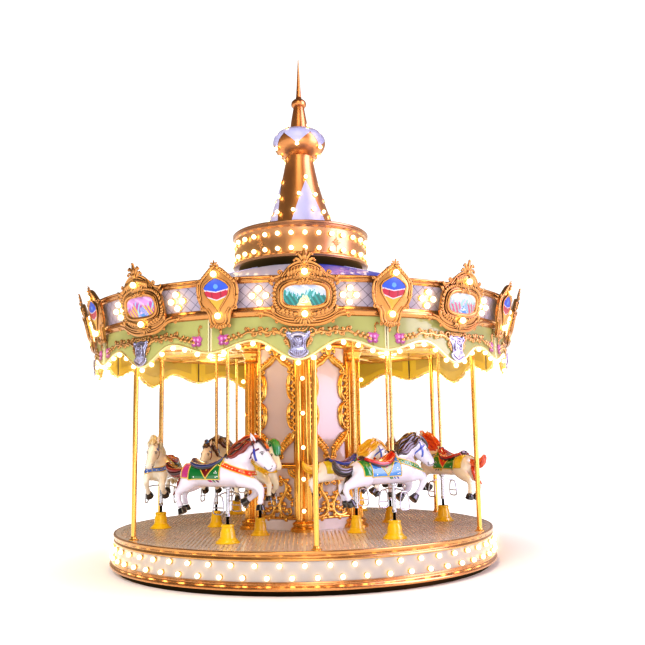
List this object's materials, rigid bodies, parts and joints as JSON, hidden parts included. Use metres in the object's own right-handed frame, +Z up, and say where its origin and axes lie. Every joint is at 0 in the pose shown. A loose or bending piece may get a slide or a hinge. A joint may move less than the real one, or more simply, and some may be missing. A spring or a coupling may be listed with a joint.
{
  "type": "fairground carousel",
  "caption": "Fairground carousel: a turntable on a ground frame, with galloping horses on sliding poles, a mirrored centre column, a waved canopy, a crown drum and an onion spire.",
  "frame": {"origin": "centre of the base at ground level", "axes": "+Z up along the turning axis, -Y towards the front"},
  "size_m": [4.7098, 4.7661, 5.72],
  "materials": {
    "gold_paint": "gloss gold paint",
    "cream_enamel": "satin cream enamel",
    "black_steel": "matt black paint",
    "tread_plate": "ribbed tread plate",
    "sage_panel": "painted moulded panel",
    "lavender_canvas": "satin roof panels",
    "yellow_moulding": "gloss moulding",
    "white_gloss": "gloss paint on a moulded skin",
    "pole_brass": "polished"
  },
  "bodies": {
    "ground_frame": {"base_frame": "black_steel"},
    "turntable": {"platform_deck": "tread_plate", "base_moulding": "gold_paint", "skirt_band": "cream_enamel", "rim_moulding": "gold_paint", "rim_pole_1": "gold_paint", "rim_pole_2": "gold_paint", "rim_pole_3": "gold_paint", "rim_pole_4": "gold_paint", "rim_pole_5": "gold_paint", "rim_pole_6": "gold_paint", "centre_column": "gold_paint", "ceiling": "gold_paint", "valance": "sage_panel", "cornice": "gold_paint", "roof": "lavender_canvas", "crown_drum": "gold_paint", "spire": "gold_paint", "boot_1": "yellow_moulding", "boot_2": "yellow_moulding", "boot_3": "yellow_moulding", "boot_4": "yellow_moulding", "boot_5": "yellow_moulding", "boot_6": "yellow_moulding", "boot_7": "yellow_moulding", "boot_8": "yellow_moulding", "boot_9": "yellow_moulding", "boot_10": "yellow_moulding", "boot_11": "yellow_moulding", "boot_12": "yellow_moulding"},
    "galloper_1": {"horse_1": "white_gloss", "horse_pole_1": "pole_brass"},
    "galloper_2": {"horse_2": "white_gloss", "horse_pole_2": "pole_brass"},
    "galloper_3": {"horse_3": "white_gloss", "horse_pole_3": "pole_brass"},
    "galloper_4": {"horse_4": "white_gloss", "horse_pole_4": "pole_brass"},
    "galloper_5": {"horse_5": "white_gloss", "horse_pole_5": "pole_brass"},
    "galloper_6": {"horse_6": "white_gloss", "horse_pole_6": "pole_brass"},
    "galloper_7": {"horse_7": "white_gloss", "horse_pole_7": "pole_brass"},
    "galloper_8": {"horse_8": "white_gloss", "horse_pole_8": "pole_brass"},
    "galloper_9": {"horse_9": "white_gloss", "horse_pole_9": "pole_brass"},
    "galloper_10": {"horse_10": "white_gloss", "horse_pole_10": "pole_brass"},
    "galloper_11": {"horse_11": "white_gloss", "horse_pole_11": "pole_brass"},
    "galloper_12": {"horse_12": "white_gloss", "horse_pole_12": "pole_brass"}
  },
  "joints": [
    {"name": "turntable_spin", "type": "hinge", "parent": "ground_frame", "child": "turntable", "pos_m": [0, 0, 0.1], "axis": [0, 0, 1], "continuous": true},
    {"name": "horse_1_rise", "type": "slide", "parent": "turntable", "child": "galloper_1", "axis": [0, 0, 1], "range_m": [-0.05, 0.05]},
    {"name": "horse_2_rise", "type": "slide", "parent": "turntable", "child": "galloper_2", "axis": [0, 0, 1], "range_m": [-0.05, 0.05]},
    {"name": "horse_3_rise", "type": "slide", "parent": "turntable", "child": "galloper_3", "axis": [0, 0, 1], "range_m": [-0.05, 0.05]},
    {"name": "horse_4_rise", "type": "slide", "parent": "turntable", "child": "galloper_4", "axis": [0, 0, 1], "range_m": [-0.05, 0.05]},
    {"name": "horse_5_rise", "type": "slide", "parent": "turntable", "child": "galloper_5", "axis": [0, 0, 1], "range_m": [-0.05, 0.05]},
    {"name": "horse_6_rise", "type": "slide", "parent": "turntable", "child": "galloper_6", "axis": [0, 0, 1], "range_m": [-0.05, 0.05]},
    {"name": "horse_7_rise", "type": "slide", "parent": "turntable", "child": "galloper_7", "axis": [0, 0, 1], "range_m": [-0.05, 0.05]},
    {"name": "horse_8_rise", "type": "slide", "parent": "turntable", "child": "galloper_8", "axis": [0, 0, 1], "range_m": [-0.05, 0.05]},
    {"name": "horse_9_rise", "type": "slide", "parent": "turntable", "child": "galloper_9", "axis": [0, 0, 1], "range_m": [-0.05, 0.05]},
    {"name": "horse_10_rise", "type": "slide", "parent": "turntable", "child": "galloper_10", "axis": [0, 0, 1], "range_m": [-0.05, 0.05]},
    {"name": "horse_11_rise", "type": "slide", "parent": "turntable", "child": "galloper_11", "axis": [0, 0, 1], "range_m": [-0.05, 0.05]},
    {"name": "horse_12_rise", "type": "slide", "parent": "turntable", "child": "galloper_12", "axis": [0, 0, 1], "range_m": [-0.05, 0.05]}
  ],
  "couplings": [
    {"joint": "horse_2_rise", "follows": "horse_1_rise", "ratio": -1},
    {"joint": "horse_3_rise", "follows": "horse_1_rise", "ratio": 1},
    {"joint": "horse_4_rise", "follows": "horse_1_rise", "ratio": -1},
    {"joint": "horse_5_rise", "follows": "horse_1_rise", "ratio": 1},
    {"joint": "horse_6_rise", "follows": "horse_1_rise", "ratio": -1},
    {"joint": "horse_7_rise", "follows": "horse_1_rise", "ratio": -1},
    {"joint": "horse_8_rise", "follows": "horse_1_rise", "ratio": 1},
    {"joint": "horse_9_rise", "follows": "horse_1_rise", "ratio": -1},
    {"joint": "horse_10_rise", "follows": "horse_1_rise", "ratio": 1},
    {"joint": "horse_11_rise", "follows": "horse_1_rise", "ratio": -1},
    {"joint": "horse_12_rise", "follows": "horse_1_rise", "ratio": 1}
  ]
}
